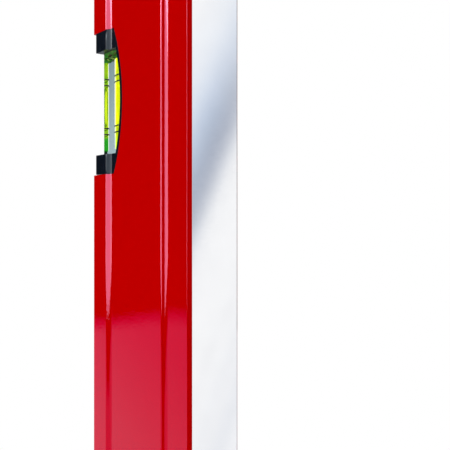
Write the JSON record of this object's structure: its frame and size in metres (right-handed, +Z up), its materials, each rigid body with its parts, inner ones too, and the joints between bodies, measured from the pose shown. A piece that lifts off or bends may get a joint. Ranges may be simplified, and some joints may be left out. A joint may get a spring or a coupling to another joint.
{
  "type": "magnetic spirit level",
  "caption": "Box-section magnetic spirit level with a block vial let into its top edge, plumb vials in its sides and magnets in its milled measuring face.",
  "frame": {"origin": "middle of the milled measuring face", "axes": "+X along the level towards the end nearer the block vial's plug, +Y across its thickness, +Z up from the measuring face to the edge with the block vial"},
  "size_m": [0.6, 0.025, 0.0608],
  "materials": {
    "red_powder_coat": "gloss",
    "black_plastic": "satin",
    "clear_acrylic": "polished",
    "vial_liquid": "gloss",
    "bubble_gas": "gloss",
    "black_ring": "matte",
    "green_plug": "satin",
    "black_rubber": "matte",
    "magnet_steel": "satin",
    "magnet_disc": "satin"
  },
  "bodies": {
    "level": {"profile": "red_powder_coat", "vial_cradle": "black_plastic", "vial_block": "clear_acrylic", "vial_rings": "black_ring", "vial_plugs": "green_plug", "vial_liquid": "vial_liquid", "magnet_cups": "magnet_steel", "magnet_discs": "magnet_disc", "left_plumb_frame": "black_plastic", "left_plumb_tube": "clear_acrylic", "left_plumb_liquid": "vial_liquid", "left_end_cap": "black_plastic", "left_end_pad": "black_rubber", "right_plumb_frame": "black_plastic", "right_plumb_tube": "clear_acrylic", "right_plumb_liquid": "vial_liquid", "right_end_cap": "black_plastic", "right_end_pad": "black_rubber"},
    "vial_bubble_body": {"vial_bubble": "bubble_gas"},
    "left_bubble_body": {"left_plumb_bubble": "bubble_gas"},
    "right_bubble_body": {"right_plumb_bubble": "bubble_gas"}
  },
  "joints": [
    {"name": "vial_bubble_slide", "type": "slide", "parent": "level", "child": "vial_bubble_body", "axis": [1, 0, 0], "range_m": [-0.0091, 0.0091], "stiffness_N_per_m": 0.5, "deforming": ["vial_liquid"]},
    {"name": "left_bubble_slide", "type": "slide", "parent": "level", "child": "left_bubble_body", "axis": [0, 0, 1], "range_m": [-0.014, 0], "stiffness_N_per_m": 2, "springref_m": 0.005, "deforming": ["left_plumb_liquid"]},
    {"name": "right_bubble_slide", "type": "slide", "parent": "level", "child": "right_bubble_body", "axis": [0, 0, 1], "range_m": [-0.014, 0], "stiffness_N_per_m": 2, "springref_m": 0.005, "deforming": ["right_plumb_liquid"]}
  ]
}
